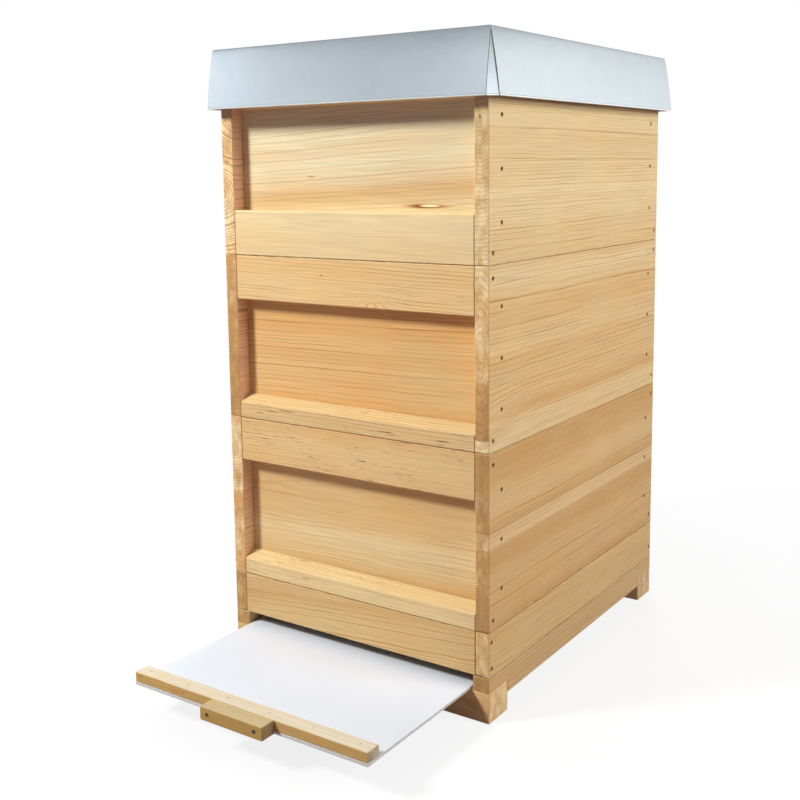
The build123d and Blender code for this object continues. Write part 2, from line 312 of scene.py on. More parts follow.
def cover(node, material, easing=0.6):
    """Gives a piece of the frame its finish, on a copy whose long edges are eased, by so many mm."""
    same_point, shortest_eased = 0.005 * MM, 4 * MM
    flat_angle, sharp_angle = math.radians(0.5), math.radians(20)
    shape = bmesh.new()
    shape.from_mesh(nodes[node].data)
    bmesh.ops.remove_doubles(shape, verts=shape.verts, dist=same_point)
    bmesh.ops.dissolve_limit(shape, angle_limit=flat_angle, verts=shape.verts, edges=shape.edges)
    sharp = [edge for edge in shape.edges if edge.is_convex and edge.calc_length() > shortest_eased
             and edge.calc_face_angle(0.0) > sharp_angle]
    bmesh.ops.bevel(shape, geom=sharp, offset=easing * MM, offset_type="OFFSET", segments=2, profile=0.5,
                    affect="EDGES", loop_slide=False)
    for face in shape.faces:
        face.smooth = False
    mesh = bpy.data.meshes.new(node + "_eased")
    shape.to_mesh(mesh)
    shape.free()
    mesh.materials.append(material)
    piece = piece_of(node + "_eased", mesh)
    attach(piece, body_of(nodes[node])[0])
    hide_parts(node)


def pine(node, axes, strips, ring=4.5, closing=0.0, drift=0.0, knots=(), seed=1.0, shade=1.0, lines=1.0,
         flecked=0.0, banding=1.2, pale=(), ends=((0, 0.25),), end_rings=1.0, end_lines=0.42, end_pith=None,
         sawn_and_shade=0.0, recess=0.0, seams=None, tones=(SAPWOOD, HEARTWOOD), easing=0.6):
    """Pine for one board, whose axes are its length, thickness and width.

    Sizes are in mm from its low corner. strips are glued side by side: (start, warmth, pith depth, pith
    height). Rings are a ring's width apart, and nearer further out if they are closing; they rise along
    the board by the drift. knots bend the grain round them: (along, up, length, height, bend, darkness),
    and a scar is a knot less dark than nothing. pale bands follow the grain: (up, width, paleness). ends
    says how much warmer the cut ends are: (start, warmer), and end_rings and end_lines how close and
    how dark their arcs are. end_pith gives those arcs a middle of their own: (depth, height, squash,
    darkness of its mark). The argument after it says how brown the low face is, partly as the rough face
    the saw left and partly as painted shade; recess says how rosy the high face is in the recess at the
    low end, which is painted shade reddened as if by the wood round it; and seams how dark a joint, or a
    glue line at some height, shows, a joint's darkness being partly dirt and partly painted shade.
    """
    wood = Finish(node)
    low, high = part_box(node)
    place = wood.split(wood.place)
    order = ["XYZ".index(axis) for axis in axes]
    along, through, up = [(place[axis] - low[axis]) / MM for axis in order]
    board = wood.get("ShaderNodeCombineXYZ", 0, None, {0: along, 1: through, 2: up})
    length, width = (high - low)[order[0]] / MM, (high - low)[order[2]] / MM

    # Each strip has its own warmth and its own pith line, and the sawn ends their own warmth.
    share_up = up / width
    stops = [(start / width, (warmth, 0.5 + depth / PITH_REACH / 2, 0.5 + height / PITH_REACH / 2))
             for start, warmth, depth, height in strips]
    strip = wood.get("ShaderNodeValToRGB", 0, {"interpolation": "CONSTANT", "stops": stops}, {0: share_up})
    strip_parts = wood.node("ShaderNodeSeparateColor", None, {0: strip})
    warmth, pith_depth, pith_height = [Value(wood, socket) for socket in strip_parts.outputs]
    end_ramp = {"interpolation": "LINEAR",
                "stops": [(start / width, (0.5 + warmer / 2,) * 3) for start, warmer in ends]}
    warmer = wood.get("ShaderNodeValToRGB", 0, end_ramp, {0: share_up}) * 2 - 1
    depth = through - (pith_depth - 0.5) * (2 * PITH_REACH)
    height = up - (pith_height - 0.5) * (2 * PITH_REACH) + along * drift

    # Rings run round the pith, waver along the board and bend round knots.
    wander = wood.noise(wood.stretch(board, (0.0024, 0.006, 0.007), seed)) * 10
    shiver = wood.noise(wood.stretch(board, (0.015, 0.03, 0.04), seed + 1)) * 2.2
    radius = wood.math("SQRT", depth * depth + height * height) + wander + shiver
    resin = 0.0
    for knot_along, knot_up, knot_length, knot_height, bend, darkness in knots:
        far_along = (along - knot_along) / knot_length
        far_up = (up - knot_up) / knot_height
        nearness = wood.math("EXPONENT", (far_along * far_along + far_up * far_up) * -1)
        radius = radius + nearness * bend
        resin = wood.smooth(nearness, 0.45, 0.95) * darkness + resin

    paleness = 0.0
    for band_up, band_width, band_pale in pale:
        off_band = (up + along * drift + wander - (band_up + 5)) / band_width
        paleness = wood.math("EXPONENT", off_band * off_band * -1) * band_pale + paleness

    rings = radius * (radius * closing + 1) / ring + wood.noise_along(radius * 0.05 + seed) * 2.2
    number = wood.math("FLOOR", rings)
    age = rings - number
    vigour = wood.chance(number + seed)
    faintness = wood.smooth(wood.noise(wood.stretch(board, (0.005, 0.014, 0.014), seed + 2)), 0.35, 0.6)
    ripening = wood.smooth(age, 0.45, 0.95) * 0.3 + wood.smooth(age, 0.76, 0.9) * 0.7
    summer = ripening * (1 - wood.smooth(age, 0.95, 1.0))
    summer = summer * (vigour * 0.75 + 0.25) * (faintness * 0.7 + 0.3)

    # On the sawn ends the rings are arcs, about the same pith or about one of their own.
    end_count, pith_mark = rings * end_rings, 0.0
    if end_pith:
        centre_depth, centre_height, squash, mark = end_pith
        off_depth, off_height = through - centre_depth, (up - centre_height) * squash
        off_centre = wood.math("SQRT", off_depth * off_depth + off_height * off_height)
        end_count = (off_centre + shiver) * (end_rings / ring)
        pith_mark = (1 - wood.smooth(off_centre, 0.6, 1.7)) * mark
    end_age = wood.math("FRACT", end_count)
    arcs = wood.smooth(end_age, 0.4, 0.92) * (1 - wood.smooth(end_age, 0.94, 1.0))
    arcs = arcs * (vigour * 0.5 + 0.5)

    # Fibres, clouds, resin flecks and open pores vary the surface on a finer scale.
    facing = wood.split(wood.get("ShaderNodeNewGeometry", "Normal"))[order[0]]
    end_grain = wood.smooth(wood.math("ABSOLUTE", facing), 0.6, 0.95)
    fibre = wood.noise(wood.stretch(board, (0.014, 0.7, 0.7), seed + 3), 4.0)
    cloud = wood.noise(wood.stretch(board, (0.009, 0.015, 0.02), seed + 4))
    flecks = wood.smooth(wood.noise(wood.stretch(board, (0.04, 1.1, 1.1), seed + 5), 1.0), 0.67, 0.72)
    patches = wood.smooth(wood.noise(wood.stretch(board, (0.008, 0.02, 0.02), seed + 7)), 0.42, 0.62)
    pores = wood.smooth(wood.noise(wood.stretch(board, (0.3, 0.55, 0.55), seed + 9), 1.0), 0.58, 0.75)
    blotch = wood.noise(wood.stretch(board, (0.02, 0.09, 0.05), seed + 11), 3.0) - 0.5
    bands = wood.noise_along(radius * 0.02 + seed * 1.7)

    # The colour is built up from plain wood to its lines, marks and knots, with painted shade on a recess
    # wall and on a low face where asked, and last the seams, darkened partly by dirt and partly by painted
    # shade.
    sapwood, heartwood, sawn_and_shade_tone = [(*(shade * part for part in tone), 1) for tone in (*tones, SAWN_FACE_AND_SHADE)]
    warm = warmth + (bands - 0.5) * banding + (cloud - 0.5) * 0.6
    warm = warm + end_grain * (blotch * 2 + warmer) - paleness
    warm = wood.math("MINIMUM", wood.math("MAXIMUM", warm, 0.0), 1.0)
    colour = wood.mix(warm, sapwood, heartwood)
    # The high face near the low end is mixed towards a rosy tone: painted shade, reddened as if by light
    # bounced off the wood round the recess.
    if recess:
        thickness = (high - low)[order[1]] / MM
        inner_face = wood.smooth(through, thickness - 0.6, thickness - 0.2) * (1 - end_grain)
        near_end = 1 - wood.smooth(along, RECESS_REACH - 1, RECESS_REACH + 1)
        colour = wood.mix(inner_face * near_end * recess, colour, (*PAINTED_RECESS_SHADE, 1))
    colour = wood.mix((1 - end_grain) * summer * lines, colour, (*LATEWOOD, 1))
    colour = wood.mix(end_grain * arcs * end_lines, colour, (*END_RING, 1))
    colour = wood.mix(flecks * patches * flecked, colour, (*FLECK, 1))
    colour = wood.mix((pores * 0.35 + pith_mark) * end_grain, colour, (*RESIN, 1))
    # The low face is mixed towards a brown: partly a rough sawn face, partly painted shade on a face that
    # gets less light.
    if sawn_and_shade:
        rough_and_shaded_face = (1 - wood.smooth(through, 0.2, 0.6)) * (1 - end_grain)
        colour = wood.mix(rough_and_shaded_face * sawn_and_shade, colour, sawn_and_shade_tone)
    if knots:
        colour = wood.mix(resin, colour, (*LATEWOOD, 1))
        colour = wood.mix(wood.smooth(resin, 0.5, 1.0), colour, (*RESIN, 1))
        colour = wood.mix(resin * -1, colour, (*SCAR, 1))
    darker_end = end_grain * (blotch * 0.6 + warmer * 0.3)
    colour = wood.dim(colour, fibre * 0.5 + cloud * 0.2 - darker_end + 0.66)
    ragged = wood.noise_along(along * 0.06 + seed) * 0.9
    off_middle = wood.math("ABSOLUTE", along - length / 2)
    # The seams darken the board's edges and ends towards a dark brown: partly dirt, partly painted shade in
    # the joints. The smudge is a wider band of the same above the low edge; a glue line at a given height
    # is only glue.
    gaps = {
        "low": 1 - wood.smooth(up + ragged, 0.6, 1.3),
        "joint": 1 - wood.smooth(up + ragged, 1.1, 2.5),
        "smudge_and_shade": 1 - wood.smooth(up + ragged * 6, 2.0, 8.0),
        "high": wood.smooth(up + ragged, width - 0.5, width + 0.2),
        "ends": wood.smooth(off_middle, length / 2 - 0.8, length / 2 - 0.3),
    }
    for seam, darkness in (seams or {}).items():
        if seam in gaps:
            gap = gaps[seam]
        else:
            gap = 1 - wood.smooth(wood.math("ABSOLUTE", up - seam), 0.2, 0.7)
        colour = wood.mix(gap * darkness, colour, (*SEAM_DIRT_AND_SHADE, 1))
    relief = summer * 0.5 + fibre * 0.7 - flecks * 0.5
    cover(node, wood.surface({
        "Base Color": colour,
        "Roughness": 0.64 - summer * 0.14,
        "Specular IOR Level": 0.2,
        "Normal": wood.bump(relief, 0.25, 0.3 * MM),
    }), easing)


pine("floor_tray_end_runner", "XYZ", [(0, 0.6, -60, 20)], ring=3.2, seed=2.0, shade=1.06, ends=[(0, -0.2)])
pine("floor_entrance_end_runner", "XYZ", [(0, 0.3, 110, 10)], ring=3.2, seed=2.6, shade=0.95,
     ends=[(0, 0.0)])
pine("floor_left_lower_rail", "YXZ", [(0, 0.5, 80, 120)], drift=0.02, seed=3.1, shade=0.92)
pine("floor_right_lower_rail", "YXZ", [(0, 0.6, -60, 120)], drift=0.01, seed=3.7, shade=0.88,
     ends=[(0, 0.5)], seams={"high": 0.4})


# On the lower rails stands a ring of boards: two sides and, at the tray end, a rail between them. They
# are pine boards, nailed through the sides into the ends, with a rebate under them for the mesh.
pine("floor_left_side", "YXZ", [(0, 0.5, 80, 10)], drift=0.05, seed=4.2, shade=0.92, ends=[(0, 0.5)])
floor_tones = ((0.81, 0.64, 0.325), (0.62, 0.40, 0.155))
pine("floor_right_side", "YXZ", [(0, 0.55, -10, -2)], ring=4.0, drift=0.06, seed=4.9, shade=0.97,
     banding=0.6, tones=floor_tones, ends=[(0, 0.0)], seams={"joint": 0.35})
pine("floor_tray_end_rail", "XYZ", [(0, 0.65, 75, -110)], ring=4.0, drift=-0.08, seed=4.4, flecked=0.3,
     shade=0.91, seams={"high": 0.6, "ends": 0.6})


# A galvanised wire cloth lies in the rebate over the tray, so that what the bees drop falls through.
# Its straight wires lie in two crossing layers, a little over three millimetres apart.
def grower(name, inputs):
    """A Geometry Nodes tree with its named inputs."""
    tree = bpy.data.node_groups.new(name, "GeometryNodeTree")
    for label, kind in {"Geometry": "Geometry", **inputs}.items():
        tree.interface.new_socket(label, in_out="INPUT", socket_type="NodeSocket" + kind)
    tree.interface.new_socket("Geometry", in_out="OUTPUT", socket_type="NodeSocketGeometry")
    wiring = Wiring(tree)
    given = wiring.node("NodeGroupInput")
    return wiring, {socket.name: Value(wiring, socket) for socket in given.outputs if socket.name}


def ripen(wiring, geometry, material):
    """Ends a tree: its copies become one real mesh with one finish."""
    real = wiring.get("GeometryNodeRealizeInstances", 0, None, {0: geometry})
    finished = wiring.get("GeometryNodeSetMaterial", 0, None, {"Geometry": real, "Material": material})
    wiring.node("NodeGroupOutput", None, {0: finished})
    return wiring.tree


def grow(name, tree, inputs, seedbed=None):
    """Runs a tree, on a mesh if it needs one, and keeps what it makes as a plain mesh."""
    bed = piece_of(name + "_bed", seedbed or bpy.data.meshes.new(name + "_bed"))
    modifier = bed.modifiers.new(tree.name, "NODES")
    modifier.node_group = tree
    for socket in tree.interface.items_tree:
        if socket.name in inputs:
            modifier[socket.identifier] = inputs[socket.name]
    grown = bpy.data.meshes.new_from_object(bed.evaluated_get(bpy.context.evaluated_depsgraph_get()))
    bpy.data.objects.remove(bed)
    grown.name = name
    return piece_of(name, grown)


def galvanised(name, tone, roughness):
    """Zinc-coated steel: faint flower-like crystals, soft clouds and fine handling marks."""
    zinc = Finish(name)
    crystals = zinc.node("ShaderNodeTexVoronoi", None, {"Vector": zinc.place, "Scale": 110.0})
    crystal = zinc.split(Value(zinc, crystals.outputs["Color"]))[0]
    cloud = zinc.noise(zinc.stretch(zinc.place, (4.0, 4.0, 9.0), 1.3), 3.0)
    dent = zinc.noise(zinc.stretch(zinc.place, (5.0, 5.0, 9.0), 2.9), 0.0)
    rub = zinc.noise(zinc.stretch(zinc.place, (20.0, 20.0, 60.0), 4.7), 0.0)
    colour = zinc.dim(tone, crystal * 0.03 + cloud * 0.3 + 0.84)
    return zinc.surface({
        "Base Color": colour,
        "Metallic": 1.0,
        "Roughness": cloud * 0.12 + rub * 0.03 + (roughness - 0.08),
        "Normal": zinc.bump(dent, 0.12, 4 * MM),
    })


wire_tree, given = grower("wire_cloth", {
    "Width": "Float", "Length": "Float", "Spacing": "Float", "Thickness": "Float", "Material": "Material"})
cloth = wire_tree.node("GeometryNodeJoinGeometry")
wire_layers = (("Width", "Length", 1, (0, math.pi / 2, 0), -0.48),
               ("Length", "Width", 0, (math.pi / 2, 0, 0), 0.48))
for run, other, row_axis, turn, lift in wire_layers:
    step = given["Spacing"]
    count = wire_tree.math("FLOOR", given[other] / step)
    start = {row_axis: count * step * -0.5, 2: given["Thickness"] * lift}
    row = wire_tree.get("GeometryNodeMeshLine", 0, None, {
        "Count": count + 1,
        "Start Location": wire_tree.get("ShaderNodeCombineXYZ", 0, None, start),
        "Offset": wire_tree.get("ShaderNodeCombineXYZ", 0, None, {row_axis: step})})
    wire = wire_tree.get("GeometryNodeMeshCylinder", 0, None, {
        "Vertices": 6, "Radius": given["Thickness"] * 0.5, "Depth": given[run]})
    layer = wire_tree.get("GeometryNodeInstanceOnPoints", 0, None, {
        "Points": row, "Instance": wire, "Rotation": turn})
    wire_tree.tree.links.new(layer.socket, cloth.inputs[0])
wire_cloth = ripen(wire_tree, Value(wire_tree, cloth.outputs[0]), given["Material"])

wire_spacing, wire_thickness = 3.2 * MM, 0.6 * MM
screen_low, screen_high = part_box("floor_mesh_screen")
screen_size = screen_high - screen_low
screen = grow("floor_wire_cloth", wire_cloth, {
    "Width": screen_size.x, "Length": screen_size.y, "Spacing": wire_spacing, "Thickness": wire_thickness,
    "Material": galvanised("screen_zinc", (0.56, 0.58, 0.60), 0.4)})
screen.data.transform(Matrix.Translation((screen_low + screen_high) / 2))
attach(screen, "floor")
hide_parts("floor_mesh_screen")


# At the far end a sill joins the sides, and a loose block with a small gate closes the bees' way in.
# Both are pine; the block is pushed in by hand.
pine("floor_entrance_sill", "XYZ", [(0, 0.5, 60, 60)], seed=5.5)
pine("entrance_block", "XYZ", [(0, 0.3, -60, 30)], seed=6.1)


# The tray is a thin white plastic board that slides on the runners. A pine batten is pinned along its
# outer edge, and a small pine block nailed to that is the handle.
open_sheet, painted_light_sheet = (0.61, 0.665, 0.735, 1), (0.735, 0.785, 0.855, 1)
sheet_edge = (0.63, 0.655, 0.60, 1)
painted_light_start, painted_light_full = -0.31, -0.14
plastic = Finish("tray_plastic")
mottle = plastic.noise(plastic.stretch(plastic.place, (40.0, 40.0, 40.0), 2.0), 4.0)
scuff = plastic.noise(plastic.stretch(plastic.place, (260.0, 9.0, 60.0), 6.0), 3.0)
dust = plastic.noise(plastic.stretch(plastic.place, (7.0, 7.0, 7.0), 8.0), 3.0)
dust = plastic.smooth(dust, 0.35, 0.75)
# Nearer the hive the sheet is paler: painted light that offsets the shade the hive casts on it.
painted_light_share = plastic.smooth(plastic.split(plastic.place)[1], painted_light_start, painted_light_full)
clean_tone = plastic.mix(painted_light_share, open_sheet, painted_light_sheet)
sheet_facing = plastic.split(plastic.get("ShaderNodeNewGeometry", "Normal"))[2]
cut_edge = 1 - plastic.smooth(plastic.math("ABSOLUTE", sheet_facing), 0.4, 0.8)
clean_tone = plastic.mix(cut_edge, clean_tone, sheet_edge)
cover("tray_sheet", plastic.surface({
    "Base Color": plastic.mix(dust * 0.5 + mottle * 0.2, clean_tone, plastic.dim(clean_tone, 0.96)),
    "Roughness": mottle * 0.08 + scuff * 0.06 + 0.34,
    "Normal": plastic.bump(mottle, 0.05, 0.4 * MM),
}))
batten_tones = ((0.605, 0.55, 0.42), (0.49, 0.375, 0.225))
handle_tones = ((0.59, 0.52, 0.315), (0.46, 0.325, 0.155))
pine("tray_batten", "XYZ", [(0, 0.1, 40, 60)], ring=3.0, seed=11.0, lines=0.6, banding=0.3, sawn_and_shade=0.85,
     knots=[(6, 9, 16, 2.4, 2, 0.55), (40, 12, 18, 2.0, 2, 0.4), (74, 6, 18, 2.6, 2, 0.55),
            (86, 8, 4, 3, 0, 0.5)], ends=[(0, 0.4)], tones=batten_tones, easing=0.4)
pine("tray_handle", "XYZ", [(0, 0.3, 40, 60)], ring=3.0, seed=12.0, shade=0.83, banding=0.5, sawn_and_shade=0.85,
     ends=[(0, 1.0)], tones=handle_tones, easing=0.4)


# Each box has two side boards glued up from strips, and ends made of a set-back panel between a wide
# grip rail and a narrow drip rail. The top box stands upside down, as it was stacked.
aged_tones = ((0.81, 0.625, 0.325), (0.61, 0.365, 0.14))
shut_above, shut_below = {"high": 0.7, "ends": 0.22}, {"low": 0.7, "ends": 0.22}
pine("bottom_box_right_side", "YXZ", [(0, 0.7, 8, 43), (106, 0.3, -70, 10), (128, 0.75, 80, 60)], ring=3.6,
     pale=[(8, 9, -0.2), (55, 16, 0.1), (88, 13, -0.2), (160, 20, 0.22)], seed=7.0, banding=0.5,
     tones=aged_tones, end_rings=1.6, end_lines=0.6, shade=0.96, ends=[(0, 0.7), (100, 0.1), (150, 0.5)],
     seams={"joint": 0.9, "smudge_and_shade": 0.4, 128: 0.6})
pine("bottom_box_left_side", "YXZ", [(0, 0.7, 24, 60), (120, 0.5, 2, 190)], seed=7.4, shade=0.94,
     ends=[(0, -0.25)], recess=0.5, seams={"low": 0.6})
pine("bottom_box_tray_end_panel", "XYZ", [(0, 0.8, 55, 128)], drift=-0.04, seed=7.6, lines=0.62,
     banding=0.5, pale=[(68, 14, 0.45), (42, 16, 0.4)])
pine("bottom_box_tray_end_grip_rail", "XYZ", [(0, 0.67, 60, -120)], ring=3.4, seed=7.8, lines=0.6,
     shade=1.02, flecked=1.6, banding=0.7, seams=shut_above)
pine("bottom_box_tray_end_drip_rail", "XYZ", [(0, 0.33, 70, 110)], ring=3.8, seed=8.0, shade=0.97,
     flecked=1.7, banding=0.3, pale=[(42, 10, 0.2)], seams=shut_below)
pine("bottom_box_entrance_end_panel", "XYZ", [(0, 0.5, -70, 300), (130, 0.3, -90, 60)], drift=0.04,
     seed=8.2)
pine("bottom_box_entrance_end_grip_rail", "XYZ", [(0, 0.4, -50, 160)], seed=8.4, flecked=0.6, banding=0.7,
     seams=shut_above)
pine("bottom_box_entrance_end_drip_rail", "XYZ", [(0, 0.6, -60, 120)], seed=8.6, flecked=0.6, banding=0.5,
     seams=shut_below)

pine("middle_box_right_side", "YXZ", [(0, 0.3, 85, 225), (36, 0.55, 85, 225), (202, 0.25, -70, 60)],
     knots=[(-10, 0, 70, 60, -26, 0.0)], ring=12.0, closing=0.005, seed=9.0, end_rings=4.2, end_lines=0.5,
     end_pith=(8, 125, 0.3, 0.0), ends=[(0, -0.2), (15.5, -0.2), (16, 0.75), (60, 0.75), (105, -0.1)],
     seams={"joint": 0.6})
pine("middle_box_left_side", "YXZ", [(0, 0.8, 16, -30), (110, 0.7, 26, 150)], seed=9.3,
     ends=[(0, 0.8), (110, 0.6), (200, 0.3)], recess=0.85, seams={"low": 0.6})
pine("middle_box_tray_end_panel", "XYZ", [(0, 0.8, 70, -100)], ring=5.5, drift=-0.02, seed=9.6,
     shade=1.09, lines=0.88)
pine("middle_box_tray_end_grip_rail", "XYZ", [(0, 0.52, 60, 150)], ring=3.4, drift=0.02, seed=9.9,
     lines=0.8, knots=[(230, 8, 26, 8, 9, 0.05), (148, 39, 3.5, 2, 0, 0.7)], shade=1.07, flecked=0.4,
     banding=0.7, seams=shut_above)
pine("middle_box_tray_end_drip_rail", "XYZ", [(0, 0.45, 70, 110)], ring=3.6, seed=10.2, shade=0.945,
     knots=[(35, 10, 13, 0.9, 0, 0.8), (58, 14, 20, 0.9, 0, 0.9), (84, 17, 24, 1.0, 0, 0.9),
            (248, 9, 22, 1.0, 0, 0.9), (256, 6, 14, 0.8, 0, 0.7), (334, 8, 16, 1.1, 0, 1.0)],
     flecked=1.8, banding=0.3, seams=shut_below)
pine("middle_box_entrance_end_panel", "XYZ", [(0, 0.4, -80, 320), (90, 0.6, -70, -60)], drift=0.03,
     seed=10.5)
pine("middle_box_entrance_end_grip_rail", "XYZ", [(0, 0.3, -50, -90)], seed=10.8, flecked=0.6, banding=0.7,
     seams=shut_above)
pine("middle_box_entrance_end_drip_rail", "XYZ", [(0, 0.5, -60, 110)], seed=11.1, flecked=0.6, banding=0.5,
     seams=shut_below)

pine("top_box_right_side", "YXZ", [(0, 0.35, 90, -70), (80, 0.15, -70, -50), (124, 0.25, 9, 204)], ring=4.0,
     knots=[(192, 31, 10, 5, 9, 0.12), (505, 91, 22, 0.8, 0, 0.5)], seed=11.4, lines=0.75, end_rings=1.6,
     end_lines=0.36, end_pith=(8, 174, 0.5, 0.9), ends=[(0, -0.15), (138, 0.25), (180, -0.05)],
     seams={"joint": 0.5})
pine("top_box_left_side", "YXZ", [(0, 0.5, -2, 84), (126, 0.6, 30, 200)], seed=11.7,
     ends=[(0, -0.4), (90, -0.2)], end_lines=0.95, recess=1.0, seams={"low": 0.6})
pine("top_box_tray_end_panel", "XYZ", [(0, 0.2, 90, -120)], ring=4.6, drift=-0.06, seed=12.0, lines=0.5,
     pale=[(60, 18, -0.2), (142, 22, 0.35)], tones=((0.81, 0.72, 0.455), HEARTWOOD),
     knots=[(300, 58, 50, 5, 3, 0.85), (305, 58.5, 20, 2.2, 0, -2.0), (119, 95, 11, 1.8, 2, 0.6)])
pine("top_box_tray_end_grip_rail", "XYZ", [(0, 0.08, 70, -150)], ring=3.0, seed=12.3, lines=0.22,
     flecked=0.15, banding=0.7, seams={"low": 0.7})
pine("top_box_tray_end_drip_rail", "XYZ", [(0, 0.3, 70, -90)], seed=12.6, banding=0.5, seams=shut_above)
pine("top_box_entrance_end_panel", "XYZ", [(0, 0.25, -80, 330)], ring=5.0, drift=0.05, seed=12.9)
pine("top_box_entrance_end_grip_rail", "XYZ", [(0, 0.15, -60, 200)], ring=3.4, seed=13.2, flecked=0.4,
     banding=0.7, seams=shut_below)
pine("top_box_entrance_end_drip_rail", "XYZ", [(0, 0.35, -60, 110)], seed=13.5, banding=0.5,
     seams=shut_above)


# Ten frames hang in each of the two lower boxes by the ends of their top bars. Bars of pale lime wood
# are planed smooth and tacked together, and each bar differs a little in tone.
lime_pale, lime_dark = (0.78, 0.62, 0.40, 1), (0.66, 0.47, 0.27, 1)


def lime(node, axes, pitch):
    """Lime wood for a row of bars that stand a fixed distance apart along X."""
    wood = Finish(node)
    row_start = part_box(node)[0].x - 2 * MM
    order = ["XYZ".index(axis) for axis in axes]
    place = wood.split(wood.place)
    along, through, up = [place[axis] / MM for axis in order]
    bar = wood.get("ShaderNodeCombineXYZ", 0, None, {0: along, 1: through, 2: up})
    tone = wood.chance(wood.math("FLOOR", (place[0] - row_start) / pitch))
    fibre = wood.noise(wood.stretch(bar, (0.01, 0.7, 0.7), 3.0), 3.0)
    flame = wood.noise(wood.stretch(bar, (0.004, 0.07, 0.07), 5.0))
    colour = wood.mix(tone * 0.5 + flame * 0.5, lime_pale, lime_dark)
    cover(node, wood.surface({
        "Base Color": wood.dim(colour, fibre * 0.35 + 0.82),
        "Roughness": fibre * 0.1 + 0.55,
        "Normal": wood.bump(fibre, 0.2, 0.3 * MM),
    }), 0.4)


frame_pitch = 36 * MM
for box in ("bottom_box", "middle_box"):
    lime(f"{box}_frame_top_bars", "YXZ", frame_pitch)
    lime(f"{box}_frame_side_bars", "ZXY", frame_pitch)
    lime(f"{box}_frame_bottom_bars", "YXZ", frame_pitch)


# Flat-headed steel nails hold the boards, driven just below the surface and a little rusty. They are
# read from the frame, one bed of points for each assembly. Each head is a low cone with a flat top.
def nail_points(node):
    """A mesh with a point at the middle of each nail's head: which way it faces, its length and radius."""
    same_point = 0.01 * MM
    solid = bmesh.new()
    solid.from_mesh(nodes[node].data)
    bmesh.ops.remove_doubles(solid, verts=solid.verts, dist=same_point)
    heads, ways, reaches, radii, done = [], [], [], [], set()
    for start in solid.verts:
        if start in done:
            continue
        nail, waiting = [], [start]
        done.add(start)
        while waiting:
            point = waiting.pop()
            nail.append(point.co.copy())
            for edge in point.link_edges:
                neighbour = edge.other_vert(point)
                if neighbour not in done:
                    done.add(neighbour)
                    waiting.append(neighbour)
        low = Vector([min(point[axis] for point in nail) for axis in range(3)])
        high = Vector([max(point[axis] for point in nail) for axis in range(3)])
        run = max(range(3), key=lambda axis: high[axis] - low[axis])
        middle = (low + high) / 2
        near_low = [point for point in nail if point[run] < middle[run]]
        near_high = [point for point in nail if point[run] > middle[run]]
        spread_low = max((point - middle).length for point in near_low)
        spread_high = max((point - middle).length for point in near_high)
        way = Vector((0, 0, 0))
        way[run] = 1.0 if spread_high > spread_low else -1.0
        heads.append(middle + way * (high[run] - low[run]) / 2)
        ways.append(way)
        reaches.append(high[run] - low[run])
        radii.append((high - low)[(run + 1) % 3] / 2)
    solid.free()
    bed = bpy.data.meshes.new(node + "_points")
    bed.from_pydata(heads, [], [])
    way_parts = [part for way in ways for part in way]
    bed.attributes.new("way", "FLOAT_VECTOR", "POINT").data.foreach_set("vector", way_parts)
    bed.attributes.new("reach", "FLOAT", "POINT").data.foreach_set("value", reaches)
    bed.attributes.new("head", "FLOAT", "POINT").data.foreach_set("value", radii)
    return bed


nail_tone, rust_tone, pin_tone = (0.15, 0.105, 0.055, 1), (0.075, 0.04, 0.018, 1), (0.46, 0.38, 0.25, 1)
widest_pin, narrowest_nail = 1.5 * MM, 2.4 * MM
steel = Finish("nail_steel")
rust = steel.smooth(steel.noise(steel.stretch(steel.place, (900.0, 900.0, 900.0), 3.0), 3.0), 0.4, 0.7)
head_radius = steel.get("ShaderNodeAttribute", "Fac", {"attribute_name": "head"})
bright_pin = 1 - steel.smooth(head_radius, widest_pin, narrowest_nail)
steel_finish = steel.surface({
    "Base Color": steel.mix(bright_pin, steel.mix(rust, nail_tone, rust_tone), pin_tone),
    "Metallic": 0.3 - rust * 0.3,
    "Roughness": rust * 0.25 + 0.6,
    "Specular IOR Level": 0.2,
    "Normal": steel.bump(rust, 0.3, 0.2 * MM),
})

nail_tree, given = grower("nails", {"Shank": "Float", "Sunk": "Float", "Material": "Material"})
way = nail_tree.get("GeometryNodeInputNamedAttribute", 0, {"data_type": "FLOAT_VECTOR"}, {"Name": "way"})
reach = nail_tree.get("GeometryNodeInputNamedAttribute", 0, {"data_type": "FLOAT"}, {"Name": "reach"})
head = nail_tree.get("GeometryNodeInputNamedAttribute", 0, {"data_type": "FLOAT"}, {"Name": "head"})
turned = nail_tree.get("FunctionNodeAlignRotationToVector", 0, {"axis": "Z"}, {"Vector": way})
head_body = nail_tree.get("GeometryNodeMeshCone", 0, None, {
    "Vertices": 16, "Radius Top": 0.93, "Radius Bottom": 1.0, "Depth": given["Sunk"] * 0.6})
shank_body = nail_tree.get("GeometryNodeMeshCylinder", 0, None, {
    "Vertices": 10, "Radius": given["Shank"], "Depth": 1.0})
shank_down = nail_tree.get("GeometryNodeTransform", 0, None, {0: shank_body, "Translation": (0, 0, -0.5)})
sunk = nail_tree.get("ShaderNodeVectorMath", 0, {"operation": "SCALE"}, {
    0: way, "Scale": given["Sunk"] * -1.0})
places = nail_tree.get("GeometryNodeSetPosition", 0, None, {0: given["Geometry"], "Offset": sunk})
stretch = nail_tree.get("ShaderNodeCombineXYZ", 0, None, {0: 1.0, 1: 1.0, 2: reach - given["Sunk"]})
spread = nail_tree.get("ShaderNodeCombineXYZ", 0, None, {0: head, 1: head, 2: 1.0})
heads = nail_tree.get("GeometryNodeInstanceOnPoints", 0, None, {
    "Points": places, "Instance": head_body, "Rotation": turned, "Scale": spread})
shanks = nail_tree.get("GeometryNodeInstanceOnPoints", 0, None, {
    "Points": places, "Instance": shank_down, "Rotation": turned, "Scale": stretch})
